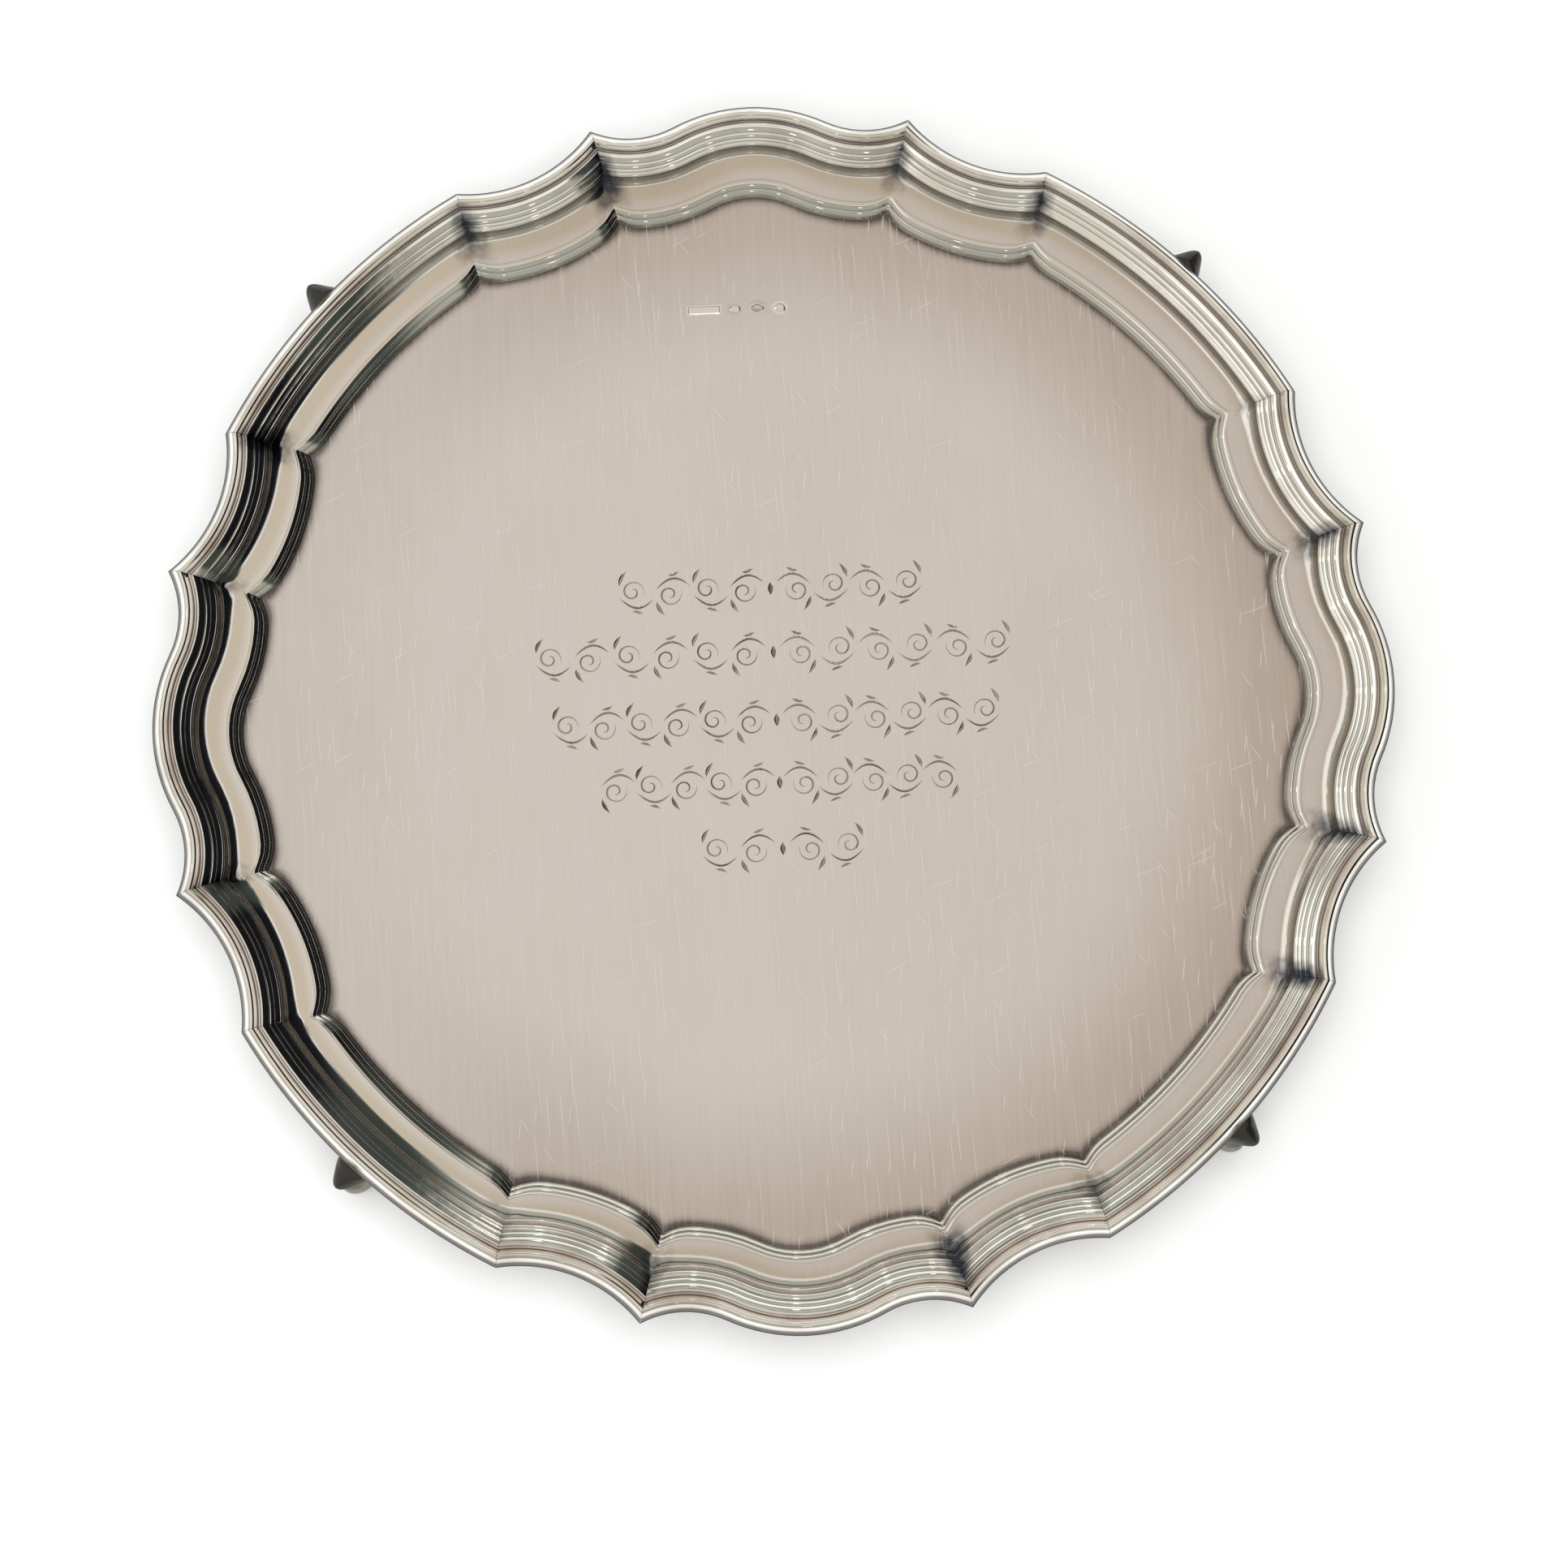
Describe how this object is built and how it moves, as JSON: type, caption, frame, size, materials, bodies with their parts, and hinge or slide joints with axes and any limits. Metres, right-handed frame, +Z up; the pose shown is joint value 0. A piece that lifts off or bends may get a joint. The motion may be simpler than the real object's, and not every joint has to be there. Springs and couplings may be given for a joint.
{
  "type": "salver",
  "caption": "Flat silver serving tray with a shaped border, a stepped well, a mitred reeded moulding and cast feet.",
  "frame": {"origin": "under the middle of the dish, on the plane that the feet stand on", "axes": "+Z up, square to the flat of the dish; the crowns of two ogee points lie on X and two on Y, and the feet on the diagonals"},
  "size_m": [0.304, 0.304, 0.0349],
  "materials": {
    "dish_silver": "satin silver with fine wiping scratches",
    "moulding_silver": "polished silver, tarnished in the grooves",
    "foot_silver": "cast and polished silver"
  },
  "bodies": {
    "root": {"tray": "dish_silver", "ogee_moulding_1": "moulding_silver", "ogee_moulding_2": "moulding_silver", "ogee_moulding_3": "moulding_silver", "ogee_moulding_4": "moulding_silver", "scallop_moulding_1": "moulding_silver", "scallop_moulding_2": "moulding_silver", "scallop_moulding_3": "moulding_silver", "scallop_moulding_4": "moulding_silver", "scallop_moulding_5": "moulding_silver", "scallop_moulding_6": "moulding_silver", "scallop_moulding_7": "moulding_silver", "scallop_moulding_8": "moulding_silver", "arc_moulding_1": "moulding_silver", "arc_moulding_2": "moulding_silver", "arc_moulding_3": "moulding_silver", "arc_moulding_4": "moulding_silver", "foot_1": "foot_silver", "foot_2": "foot_silver", "foot_3": "foot_silver", "foot_4": "foot_silver"}
  },
  "joints": []
}
